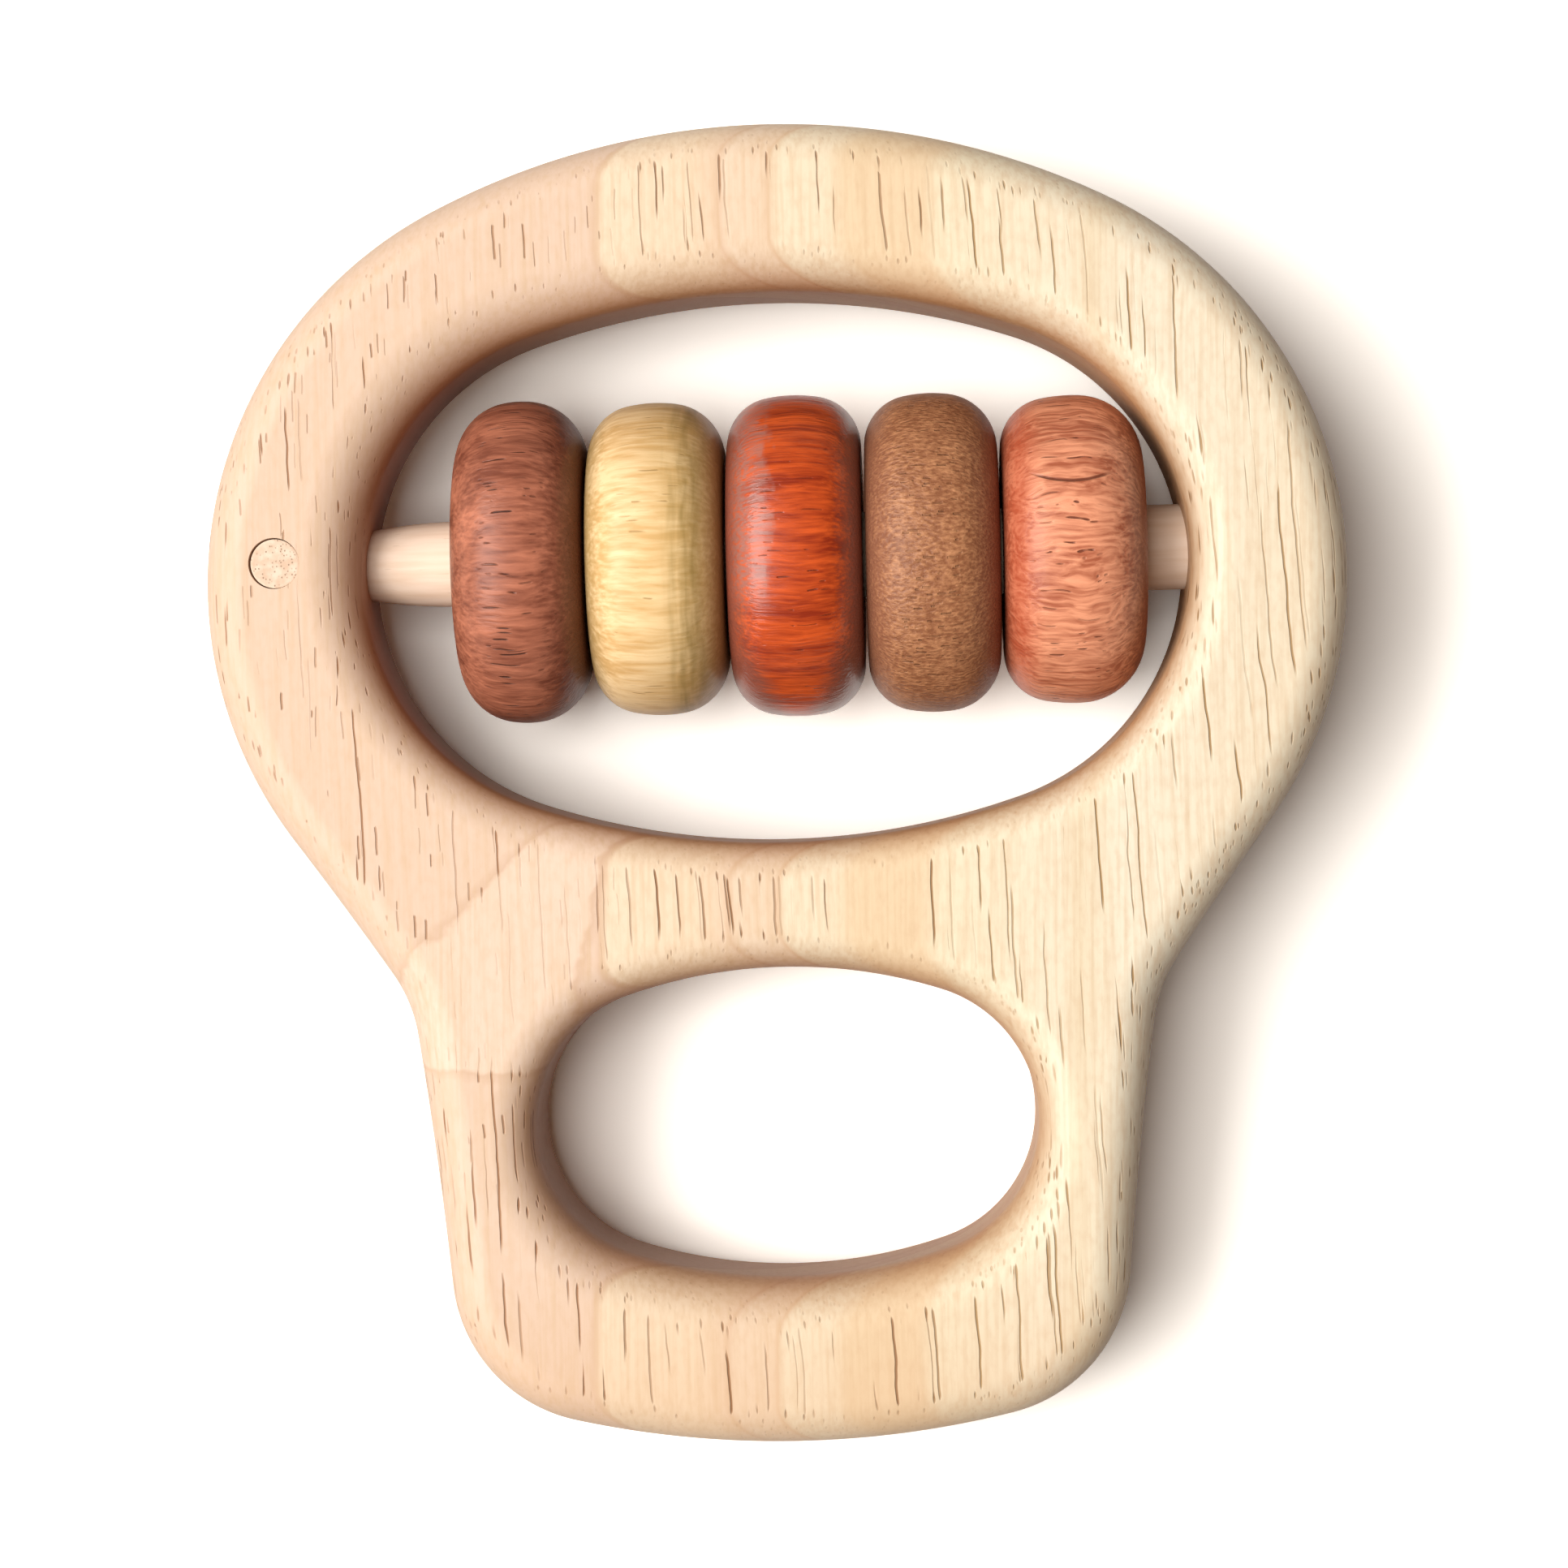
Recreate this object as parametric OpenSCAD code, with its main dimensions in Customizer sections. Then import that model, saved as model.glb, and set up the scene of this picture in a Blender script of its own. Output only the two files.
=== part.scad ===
/* [Frame outline] */
// Length of the frame from the crown to the foot
overall_len = 122; // [116:0.5:134]
// Greatest width, across the ring that holds the beads
head_w = 105.6; // [102:0.2:112]
// Radius of the arc over the crown
crown_r = 70; // [64:0.5:80]
// Radius of the arc down each side of the ring
side_r = 39; // [36:0.5:42]
// Width between the two hollows where the ring meets the handle
neck_w = 68; // [64:0.5:72]
// Height of those hollows above the foot
neck_up = 36.5; // [34:0.5:40]
// Radius of each hollow
neck_r = 13.5; // [10:0.5:18]
// Radius of the slightly hollow shoulder between the ring and that hollow
shoulder_r = 400; // [150:10:600]
// Radius of the slightly hollow side of the handle
flank_r = 400; // [150:10:600]
// Width of the handle across its two lower corners
foot_w = 63; // [60:0.5:66]
// Radius of each lower corner
corner_r = 14.5; // [11:0.5:18]
// Radius of the slightly bowed foot
foot_r = 90; // [70:1:140]

/* [Frame section] */
// Thickness of the board that the frame is cut from
thickness = 20; // [16:0.5:24]
// Radius of the rounded-over edges
edge_r = 4; // [2:0.25:5]

/* [Openings] */
// Width of the bead window, along the axle
window_w = 76.6; // [74:0.2:80]
// Height of the bead window
window_h = 51; // [48:0.5:53]
// Radius of the two ends of the bead window
window_end_r = 23; // [20:0.5:24]
// Wood left above the bead window, at the crown
crown_wall = 15.4; // [13:0.2:17]
// Width of the grip opening
grip_w = 46.5; // [40:0.5:50]
// Height of the grip opening
grip_h = 28.8; // [25:0.2:30]
// Radius of the two ends of the grip opening
grip_end_r = 12.7; // [10:0.1:13]
// Wood left below the grip opening, at the foot
foot_wall = 15.2; // [14:0.2:17]
// Least wood left between the two openings, where the frame is short
bridge_least = 8; // [6:0.5:11]

/* [Axle] */
// Diameter of the dowel that the beads run on
axle_d = 8; // [6:0.1:10]
// Height of the dowel above the middle of the bead window
axle_up = 1.2; // [0:0.1:2]
// Diameter of the thinner end that is let into the closed side of the ring
tenon_d = 6.5; // [5:0.1:7.5]
// Depth of that end in the ring
tenon_len = 11.5; // [10:0.1:12]
// Length over which the dowel thins down to that end
taper_len = 8; // [4:0.5:12]
// Play all round a glued peg in its hole
peg_play = 0.05; // [0.02:0.01:0.15]

/* [Lock pin] */
// Diameter of the pin that locks the dowel
pin_d = 4.5; // [3:0.1:4.8]
// Length of the pin, down from the upper face
pin_len = 15; // [14:0.5:17]
// Distance of the pin from the edge of the bead window
pin_in = 7.6; // [6:0.1:8.5]

/* [Beads] */
// Play all round the dowel in the bore of a bead
bore_play = 0.3; // [0.2:0.05:0.6]
// Space between one bead and the next, and to the end of the window
bead_gap = 0.3; // [0.2:0.05:0.4]
// Radius of the gentle bow across the rim of a bead
rim_bow_r = 24; // [16:1:60]
// Diameter of the first bead, next to the lock pin
bead_1_d = 30.4; // [26:0.1:32]
// Width of the first bead
bead_1_w = 12.1; // [11:0.1:12.6]
// Edge rounding of the first bead
bead_1_r = 5.4; // [3:0.1:5.5]
// Diameter of the second bead
bead_2_d = 29.5; // [26:0.1:32]
// Width of the second bead
bead_2_w = 12.7; // [11:0.1:13.2]
// Edge rounding of the second bead
bead_2_r = 4.4; // [3:0.1:5.5]
// Diameter of the third bead
bead_3_d = 30.2; // [26:0.1:32]
// Width of the third bead
bead_3_w = 12.5; // [11:0.1:13]
// Edge rounding of the third bead
bead_3_r = 4.6; // [3:0.1:5.5]
// Diameter of the fourth bead
bead_4_d = 29.9; // [26:0.1:32]
// Width of the fourth bead
bead_4_w = 12.4; // [11:0.1:12.9]
// Edge rounding of the fourth bead
bead_4_r = 4.6; // [3:0.1:5.5]
// Diameter of the fifth bead
bead_5_d = 29; // [26:0.1:30.5]
// Width of the fifth bead
bead_5_w = 13.2; // [11:0.1:13.7]
// Edge rounding of the fifth bead
bead_5_r = 4.8; // [3:0.1:5.5]

/* [Hidden] */
$fn = 96;

// The frame lies flat, its face up, with the crown at +Y and the dowel along X.
half_t = thickness / 2;
crown_top = overall_len / 2;
foot_end = -overall_len / 2;

// Centres of the arcs on the right half of the outline
crown_c = [0, crown_top - crown_r];
side_x = head_w / 2 - side_r;
side_c = [side_x, crown_c[1] + sqrt(pow(crown_r - side_r, 2) - pow(side_x, 2))];

// The hollows keep a short stretch of shoulder between them and the sides of the ring
shoulder_least = 1.5;
neck_x = neck_w / 2 + neck_r;
neck_room = side_c[1] - sqrt(pow(side_r + neck_r + shoulder_least, 2) - pow(neck_x - side_x, 2));
neck_c = [neck_x, min(foot_end + neck_up, neck_room)];

foot_c = [0, foot_end + foot_r];
corner_x = foot_w / 2 - corner_r;
corner_c = [corner_x, foot_c[1] - sqrt(pow(foot_r - corner_r, 2) - pow(corner_x, 2))];

shoulder_c = hollow_centre(side_c, side_r, shoulder_r, 1);
flank_c = hollow_centre(corner_c, corner_r, flank_r, -1);

// Directions in which one stretch of the outline runs into the next
crown_a = heading(crown_c, side_c);
shoulder_a = heading(side_c, shoulder_c);
neck_top_a = heading(shoulder_c, neck_c);
neck_low_a = heading(flank_c, neck_c);
flank_a = heading(corner_c, flank_c);
foot_a = heading(foot_c, corner_c);

// Each rounded edge is a band with a flat margin, and the flat board starts halfway into that margin
margin = 1.2;
band = edge_r + margin;
inset = edge_r + margin / 2;

// Where two stretches of an outline meet, the flatter one stops short at a slight step,
// and the rounder one runs on below it by a lap
step = 0.2;
lap = 1.2;
section_lap = 0.3;

// Widest step between two corners of the flat board, in degrees
board_step = 10;

// The bead window and the grip opening, each [centre height, width, height, end radius]
// An end is always a little tighter than half the opening's height
end_least = 1;
bridge = overall_len - crown_wall - window_h - grip_h - foot_wall;
grip_fit_h = grip_h - max(0, bridge_least - bridge);
window = opening(crown_top - crown_wall - window_h / 2, window_w, window_h, window_end_r);
grip = opening(foot_end + foot_wall + grip_fit_h / 2, grip_w, grip_fit_h, grip_end_r);

// The dowel's axis, its shoulder at the window and the lock pin across it
axle_y = window[0] + axle_up;
shoulder_x = -window_w / 2;
pin_x = shoulder_x - pin_in;
pin_end = half_t - pin_len;

// The beads, each [diameter, width, edge rounding], and their places along the dowel
beads = [[bead_1_d, bead_1_w, bead_1_r], [bead_2_d, bead_2_w, bead_2_r], [bead_3_d, bead_3_w, bead_3_r],
         [bead_4_d, bead_4_w, bead_4_r], [bead_5_d, bead_5_w, bead_5_r]];
last_bead = len(beads) - 1;
bore_r = axle_d / 2 + bore_play;

// Direction from one point to another, in degrees from -90, straight down, to 270
function heading(from, to) = (atan2(to[1] - from[1], to[0] - from[0]) + 450) % 360 - 90;
function along(a) = [cos(a), sin(a)];
function arc_points(c, r, a0, a1) =
    let (n = ceil(abs(a1 - a0) / board_step))
    [for (i = [0.5 : n]) c + r * along(a0 + (a1 - a0) * i / n)];
function degrees(length, r) = length / r * 180 / PI;

// How far before its end an arc of curvature k0 stops, where one of curvature k1 has fallen away by the step
function short_by(k0, k1) = sqrt(2 * step / abs(k1 - k0));

// Centre of a hollow arc of radius r that runs from a round corner into the neck, on one side of the way
function hollow_centre(c, corner, r, side) =
    let (
        way = norm(neck_c - c),
        out = corner + r,
        turn = acos((pow(out, 2) + pow(way, 2) - pow(r - neck_r, 2)) / (2 * out * way))
    )
    c + out * along(heading(c, neck_c) + side * turn);
function flip(points) = [for (i = [len(points) - 1 : -1 : 0]) [-points[i][0], points[i][1]]];

// An oval opening: its values, radius of its long sides, place of its end centre, and angle where they meet
function opening(y, w, h, end_r) = [y, w, h, min(end_r, h / 2 - end_least)];
function long_r(o) = (pow(end_x(o), 2) + pow(o[2] / 2, 2) - pow(o[3], 2)) / (o[2] - 2 * o[3]);
function end_x(o) = o[1] / 2 - o[3];
function meet_a(o) = atan2(long_r(o) - o[2] / 2, end_x(o));

// Height of the middle of a bead's edge rounding above the dowel's axis
function rounding_up(b) = b[0] / 2 - rim_bow_r + sqrt(pow(rim_bow_r - b[2], 2) - pow(b[1] / 2 - b[2], 2));

// How far the middle of a bead can go from the middle of the window before its edge meets the end wall
function reach(b) =
    let (
        up = rounding_up(b) + axle_up,
        end_room = window_end_r - b[2] - bead_gap,
        long_room = long_r(window) - b[2] - bead_gap,
        from_long = up + long_r(window) - window_h / 2,
        on_end = up <= end_room * sin(meet_a(window)),
        edge_x = on_end ? end_x(window) + sqrt(pow(end_room, 2) - pow(up, 2))
                        : sqrt(pow(long_room, 2) - pow(from_long, 2))
    )
    edge_x - (b[1] / 2 - b[2]);

// Middle of a bead along the dowel, counted back from the last one at the open side of the ring
function bead_x(i) = i == last_bead ? reach(beads[i])
                                    : bead_x(i + 1) - (beads[i][1] + beads[i + 1][1]) / 2 - bead_gap;
row_travel = bead_x(0) + reach(beads[0]);
echo(axle_y = axle_y, row_travel = row_travel, bead_places = [for (i = [0 : last_bead]) bead_x(i)]);

// Section of a band: square inside, rounded over at x = 0
module band_section() {
    flat = half_t - edge_r;
    translate([-band, -half_t]) square([band - edge_r, thickness]);
    translate([-edge_r, -flat]) square([edge_r, 2 * flat]);
    for (s = [0, 1]) mirror([0, s]) translate([-edge_r, flat]) intersection() {
        circle(edge_r);
        square(edge_r);
    }
}

// Sweeps a section along an arc from angle a0 to a1, past each end by a length, or short of it if negative
module swept(c, r, a0, a1, run0, run1) {
    from = a0 - degrees(run0, r);
    to = a1 + degrees(run1, r);
    translate([c[0], c[1], 0]) rotate_extrude(angle = to - from, start = from) translate([r, 0]) children();
}

// Band along an arc with wood inside it
module outer_arc(c, r, a0, a1, run0, run1) {
    swept(c, r, a0, a1, run0, run1) band_section();
}

// Band along an arc with wood outside it
module inner_arc(c, r, a0, a1, run0, run1) {
    swept(c, r, a0, a1, run0, run1) mirror([1, 0]) band_section();
}

module both_sides() {
    children();
    mirror([1, 0, 0]) children();
}

module outline_bands() {
    crown_stop = short_by(1 / crown_r, 1 / side_r);
    shoulder_stop = short_by(-1 / shoulder_r, 1 / side_r);
    neck_stop = short_by(-1 / neck_r, -1 / shoulder_r);
    neck_low_stop = short_by(-1 / neck_r, -1 / flank_r);
    flank_stop = short_by(-1 / flank_r, 1 / corner_r);
    foot_stop = short_by(1 / foot_r, 1 / corner_r);
    outer_arc(crown_c, crown_r, crown_a, 180 - crown_a, -crown_stop, -crown_stop);
    both_sides() {
        outer_arc(side_c, side_r, shoulder_a, crown_a, shoulder_stop + lap, crown_stop + lap);
        inner_arc(shoulder_c, shoulder_r, 180 + shoulder_a, neck_top_a, -shoulder_stop, neck_stop + lap);
        inner_arc(neck_c, neck_r, neck_top_a, neck_low_a, -neck_stop, -neck_low_stop);
        inner_arc(flank_c, flank_r, neck_low_a, 180 + flank_a, neck_low_stop + lap, -flank_stop);
        outer_arc(corner_c, corner_r, foot_a, flank_a, foot_stop + lap, flank_stop + lap);
    }
    outer_arc(foot_c, foot_r, -180 - foot_a, foot_a, -foot_stop, -foot_stop);
}

module opening_bands(o) {
    low = o[2] / 2 - long_r(o);
    a = meet_a(o);
    end_stop = short_by(1 / o[3], 1 / long_r(o));
    translate([0, o[0], 0]) {
        inner_arc([0, low], long_r(o), a, 180 - a, end_stop + lap, end_stop + lap);
        inner_arc([0, -low], long_r(o), 180 + a, 360 - a, end_stop + lap, end_stop + lap);
        inner_arc([end_x(o), 0], o[3], -a, a, -end_stop, -end_stop);
        inner_arc([-end_x(o), 0], o[3], 180 - a, 180 + a, -end_stop, -end_stop);
    }
}

// Outline of the flat board between the bands, halfway into each band
function board_half() = concat(
    arc_points(crown_c, crown_r - inset, 90, crown_a),
    arc_points(side_c, side_r - inset, crown_a, shoulder_a),
    arc_points(shoulder_c, shoulder_r + inset, 180 + shoulder_a, neck_top_a),
    arc_points(neck_c, neck_r + inset, neck_top_a, neck_low_a),
    arc_points(flank_c, flank_r + inset, neck_low_a, 180 + flank_a),
    arc_points(corner_c, corner_r - inset, flank_a, foot_a),
    arc_points(foot_c, foot_r - inset, foot_a, -90));
function opening_half(o) = concat(
    arc_points([0, o[2] / 2 - long_r(o)], long_r(o) + inset, 90, meet_a(o)),
    arc_points([end_x(o), 0], o[3] + inset, meet_a(o), -meet_a(o)),
    arc_points([0, long_r(o) - o[2] / 2], long_r(o) + inset, -meet_a(o), -90));

module board() {
    translate([0, 0, -half_t]) linear_extrude(thickness) difference() {
        polygon(concat(board_half(), flip(board_half())));
        for (o = [window, grip]) translate([0, o[0]])
            polygon(concat(opening_half(o), flip(opening_half(o))));
    }
}

// A round bar along the dowel's axis, from x0 to x1
module bar(r, x0, x1) {
    translate([x0, axle_y, 0]) rotate([0, 90, 0]) cylinder(r = r, h = x1 - x0);
}

module pin_bar(r, z0, z1) {
    translate([pin_x, axle_y, z0]) cylinder(r = r, h = z1 - z0);
}

module frame() {
    color("burlywood") difference() {
        union() {
            board();
            outline_bands();
            opening_bands(window);
            opening_bands(grip);
        }
        bar(axle_d / 2 + peg_play, 0, head_w);
        bar(tenon_d / 2 + peg_play, shoulder_x - tenon_len - peg_play, 0);
        pin_bar(pin_d / 2 + peg_play, pin_end - peg_play, thickness);
    }
}

// The dowel is sanded flush with the side of the ring, thins to its tenon and is drilled for the pin
module axle() {
    color("bisque") difference() {
        intersection() {
            union() {
                bar(axle_d / 2, shoulder_x + taper_len, head_w / 2);
                translate([shoulder_x, axle_y, 0]) rotate([0, 90, 0])
                    cylinder(d1 = tenon_d, d2 = axle_d, h = taper_len);
                bar(tenon_d / 2, shoulder_x - tenon_len, shoulder_x);
            }
            union() {
                translate([side_c[0], side_c[1], -half_t]) cylinder(r = side_r, h = thickness);
                translate([-head_w, -overall_len, -half_t])
                    cube([head_w + side_x, 2 * overall_len, thickness]);
            }
        }
        pin_bar(pin_d / 2 + peg_play, -half_t, half_t);
    }
}

module lock_pin() {
    color("tan") pin_bar(pin_d / 2, pin_end, half_t);
}

// Half section of a bead: a bowed rim, rounded edges, flat sides and a bore
module bead_section(b) {
    up = rounding_up(b);
    side = b[1] / 2 - b[2];
    bow_c = [0, b[0] / 2 - rim_bow_r];
    bow_a = heading(bow_c, [side, up]) + degrees(section_lap, rim_bow_r);
    translate([-b[1] / 2, bore_r]) square([b[1], up - section_lap - bore_r]);
    translate([-side, bore_r]) square([2 * side, up - bore_r]);
    for (s = [-1, 1]) translate([s * side, up]) circle(b[2]);
    translate(bow_c) intersection() {
        circle(rim_bow_r);
        polygon([[0, 0], b[0] * along(bow_a), b[0] * along(180 - bow_a)]);
    }
}

module bead(i) {
    translate([bead_x(i), axle_y, 0]) rotate([0, 90, 0])
        rotate_extrude() rotate(-90) difference() {
            bead_section(beads[i]);
            translate([-head_w / 2, bore_r - head_w]) square(head_w);
        }
}

module bead_1() {
    color("sienna") bead(0);
}

module bead_2() {
    color("darkkhaki") bead(1);
}

module bead_3() {
    color("orangered") bead(2);
}

module bead_4() {
    color("peru") bead(3);
}

module bead_5() {
    color("indianred") bead(4);
}

frame();
axle();
lock_pin();
bead_1();
bead_2();
bead_3();
bead_4();
bead_5();
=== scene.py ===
import math

import bpy
import numpy as np
from mathutils import Matrix, Vector
from mathutils.geometry import delaunay_2d_cdt


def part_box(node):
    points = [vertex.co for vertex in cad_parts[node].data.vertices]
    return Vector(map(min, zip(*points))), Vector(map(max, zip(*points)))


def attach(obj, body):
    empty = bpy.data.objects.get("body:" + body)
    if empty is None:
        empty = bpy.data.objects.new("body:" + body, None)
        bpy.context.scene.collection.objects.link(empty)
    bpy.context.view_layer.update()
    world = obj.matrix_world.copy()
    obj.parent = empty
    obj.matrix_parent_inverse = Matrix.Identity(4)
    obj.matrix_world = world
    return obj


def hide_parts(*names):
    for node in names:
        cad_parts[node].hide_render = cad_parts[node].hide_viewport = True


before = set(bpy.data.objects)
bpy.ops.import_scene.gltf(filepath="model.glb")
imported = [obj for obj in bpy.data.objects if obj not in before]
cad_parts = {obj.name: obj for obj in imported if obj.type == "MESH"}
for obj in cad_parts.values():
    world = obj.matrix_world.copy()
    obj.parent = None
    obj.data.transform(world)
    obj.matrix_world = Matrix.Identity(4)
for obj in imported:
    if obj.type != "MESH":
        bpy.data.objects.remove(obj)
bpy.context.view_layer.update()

# Frame: the ring and the handle in one piece, sawn from a pale rubberwood board with two openings.
# Every edge is rounded over, and the board is sanded by hand and oiled, so it has hardly any shine.
# The grain runs up the board, from the foot to the crown.
MM = 0.001
board_low, board_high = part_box("frame")
crown_top, foot_end = board_high.y, board_low.y
half_thickness = board_high.z
crown_radius = 70 * MM
side_radius = 39 * MM
neck_width = 68 * MM
neck_height = 36.5 * MM
neck_radius = 13.5 * MM
hollow_radius = 400 * MM
foot_width = 63 * MM
corner_radius = 14.5 * MM
foot_radius = 90 * MM
edge_radius = 4 * MM
grip_easing = 1.5 * MM
window_easing = 1.5 * MM
sanding = 0.02 * MM
window_wall = 15.4 * MM
window_width = 76.6 * MM
window_height = 51 * MM
window_end_radius = 23 * MM
grip_wall = 15.2 * MM
grip_width = 46.5 * MM
grip_height = 28.8 * MM
grip_end_radius = 12.7 * MM
outline_spacing = 0.5 * MM
face_spacing = 2.2 * MM
edge_steps = 14
wall_steps = 4


def heading(start, end):
    """Direction from one point to another, in radians from straight down (-pi/2) round to 3 pi/2."""
    way = np.subtract(end, start)
    return (math.atan2(way[1], way[0]) + 2.5 * math.pi) % (2 * math.pi) - math.pi / 2


def along(angle):
    """Unit vectors (cos a, sin a)."""
    return np.stack([np.cos(angle), np.sin(angle)], axis=-1)


def hollow_centre(centre, radius, side):
    """Centre of the wide hollow arc that touches a round corner from outside and runs into the neck's own
    hollow: the third corner of a triangle with sides corner + hollow, hollow - neck, and the way
    between."""
    way = np.linalg.norm(neck_centre - centre)
    out = radius + hollow_radius
    turn = math.acos((out ** 2 + way ** 2 - (hollow_radius - neck_radius) ** 2) / (2 * out * way))
    return centre + out * along(heading(centre, neck_centre) + side * turn)


def arcs(runs):
    """Points c + r (cos a, sin a) along a chain of arcs, evenly spaced, and the direction out of the wood
    at each: (cos a, sin a) on a round arc, and its opposite on a hollow one."""
    points, outward = [], []
    for centre, radius, start, end, sign in runs:
        steps = max(int(abs(end - start) * radius / outline_spacing), 2)
        ray = along(start + (end - start) * np.arange(steps) / steps)
        points.append(centre + radius * ray)
        outward.append(sign * ray)
    return np.concatenate(points), np.concatenate(outward)


def mirrored(half):
    """A closed loop from its right half, run down from the top and mirrored back up on the left."""
    points, outward = half
    flip = np.array([-1, 1])
    end = points[:1] * [0, 0] + [[0, 2 * points[-1, 1] - points[-2, 1]]]
    return (np.concatenate([points, end, (points * flip)[:0:-1]]),
            np.concatenate([outward, [[0, np.sign(outward[-1, 1])]], (outward * flip)[:0:-1]]))


side_centre_x = board_high.x - side_radius
crown_centre = np.array([0, crown_top - crown_radius])
side_rise = math.sqrt((crown_radius - side_radius) ** 2 - side_centre_x ** 2)
side_centre = crown_centre + [side_centre_x, side_rise]
neck_centre = np.array([neck_width / 2 + neck_radius, foot_end + neck_height])
foot_centre = np.array([0, foot_end + foot_radius])
corner_x = foot_width / 2 - corner_radius
corner_drop = math.sqrt((foot_radius - corner_radius) ** 2 - corner_x ** 2)
corner_centre = foot_centre + [corner_x, -corner_drop]
shoulder_centre = hollow_centre(side_centre, side_radius, 1)
flank_centre = hollow_centre(corner_centre, corner_radius, -1)
crown_turn = heading(crown_centre, side_centre)
shoulder_turn = heading(side_centre, shoulder_centre)
neck_top_turn = heading(shoulder_centre, neck_centre)
neck_low_turn = heading(flank_centre, neck_centre)
flank_turn = heading(corner_centre, flank_centre)
foot_turn = heading(foot_centre, corner_centre)
outline_points, outline_outward = mirrored(arcs([
    (crown_centre, crown_radius, math.pi / 2, crown_turn, 1),
    (side_centre, side_radius, crown_turn, shoulder_turn, 1),
    (shoulder_centre, hollow_radius, math.pi + shoulder_turn, neck_top_turn, -1),
    (neck_centre, neck_radius, neck_top_turn, neck_low_turn, -1),
    (flank_centre, hollow_radius, neck_low_turn, math.pi + flank_turn, -1),
    (corner_centre, corner_radius, flank_turn, foot_turn, 1),
    (foot_centre, foot_radius, foot_turn, -math.pi / 2, 1)]))
outline = (outline_points - sanding * outline_outward, outline_outward)


def oval(middle, width, height, end_radius):
    """Loop of an oval opening with round ends and gently bowed long sides, four arcs that run into each
    other. It goes the other way round from the outline, because the wood lies outside it."""
    end_x = width / 2 - end_radius
    long_radius = (end_x ** 2 + height ** 2 / 4 - end_radius ** 2) / (height - 2 * end_radius)
    drop = np.array([0, long_radius - height / 2])
    meet = math.atan2(drop[1], end_x)
    end = np.array([end_x, 0])
    points, outward = mirrored(arcs([
        (-drop, long_radius, math.pi / 2, meet, -1),
        (end, end_radius, meet, -meet, -1),
        (drop, long_radius, -meet, -math.pi / 2, -1)]))
    return points[::-1] + [0, middle], outward[::-1]


window_middle = crown_top - window_wall - window_height / 2
grip_middle = foot_end + grip_wall + grip_height / 2
window = oval(window_middle, window_width, window_height, window_end_radius)
grip = oval(grip_middle, grip_width, grip_height, grip_end_radius)


def edge_section(radius):
    """Section across a rounded edge, down from the upper face: a quarter round, the wall and a quarter
    round, for each radius along a loop. Gives how far each point lies out from the loop, its height, and
    the parts of its normal."""
    turn = np.linspace(math.pi / 2, 0, edge_steps + 1)
    radius = radius[:, None]
    flat = half_thickness - radius
    wall = flat * np.linspace(1, -1, wall_steps + 1)[1:-1]
    inset = radius * (np.cos(turn) - 1)
    rise = radius * np.sin(turn)
    turns = np.concatenate([turn, np.zeros(wall_steps - 1), -turn[::-1]])
    out = np.hstack([inset, 0 * wall, inset[:, ::-1]])
    height = np.hstack([flat + rise, wall, -flat - rise[:, ::-1]])
    return out, height, np.cos(turns), np.sin(turns)


def swept(loop, section):
    """Surface of a section carried round a loop: point (u, v) is loop(u) + outward(u) out(v), at
    height(v)."""
    points, outward = loop
    out, height, sideways, upward = section
    shape = (len(points), out.shape[-1], 3)
    places, normals = np.empty(shape), np.empty(shape)
    places[..., :2] = points[:, None] + outward[:, None] * out[..., None]
    places[..., 2] = height
    normals[..., :2] = outward[:, None] * sideways[:, None]
    normals[..., 2] = upward
    return places, normals


def grid_faces(rows, columns, first=0):
    """Corner numbers of the four-sided faces of a grid, row by row, whose last row joins its first."""
    number = first + np.arange(rows * columns).reshape(rows, columns)
    after = np.roll(number, -1, axis=0)
    quads = np.stack([number[:, :-1], after[:, :-1], after[:, 1:], number[:, 1:]], axis=-1)
    return quads.reshape(-1, 4)


def inside(places, loop):
    """True where a point lies inside a loop: a ray to the right crosses it an odd number of times."""
    after = np.roll(loop, -1, axis=0)
    x, y = places[:, :1], places[:, 1:]
    spans = (loop[:, 1] > y) != (after[:, 1] > y)
    level = after[:, 1] == loop[:, 1]
    slope = (after[:, 0] - loop[:, 0]) / np.where(level, 1, after[:, 1] - loop[:, 1])
    return (spans & (x < loop[:, 0] + (y - loop[:, 1]) * slope)).sum(axis=1) % 2 == 1


def flat_face(rims):
    """Triangles of a flat face between its outer rim and its holes, on the rims' points and an even
    scatter of points inside. Gives the scattered points, and corners that count the rims' points
    first."""
    rim = np.concatenate(rims)
    low, high = rim.min(axis=0), rim.max(axis=0)
    x = np.arange(low[0], high[0], face_spacing)
    y = np.arange(low[1], high[1], face_spacing * math.sqrt(3) / 2)
    spread = np.stack(np.meshgrid(x, y), axis=-1)
    spread[1::2, :, 0] += face_spacing / 2
    spread = spread.reshape(-1, 2)
    kept = inside(spread, rims[0])
    for hole in rims[1:]:
        kept &= ~inside(spread, hole)
    spread = spread[kept]
    nearest = np.sqrt(((spread[:, None] - rim) ** 2).sum(axis=2).min(axis=1))
    spread = spread[nearest > face_spacing / 2]
    ends = np.cumsum([len(r) for r in rims])
    edges = []
    for end, r in zip(ends, rims):
        number = np.arange(end - len(r), end)
        edges.append(np.stack([number, np.roll(number, -1)], axis=1))
    everything = np.concatenate([rim, spread])
    inside_only, nearness = 1, 1e-6
    found = delaunay_2d_cdt([Vector(p) for p in everything / MM], np.concatenate(edges).tolist(), [],
                            inside_only, nearness)
    corners = np.array(found[2])
    middle = everything[corners].mean(axis=1)
    kept = inside(middle, rims[0])
    for hole in rims[1:]:
        kept &= ~inside(middle, hole)
    return spread, corners[kept]


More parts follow.
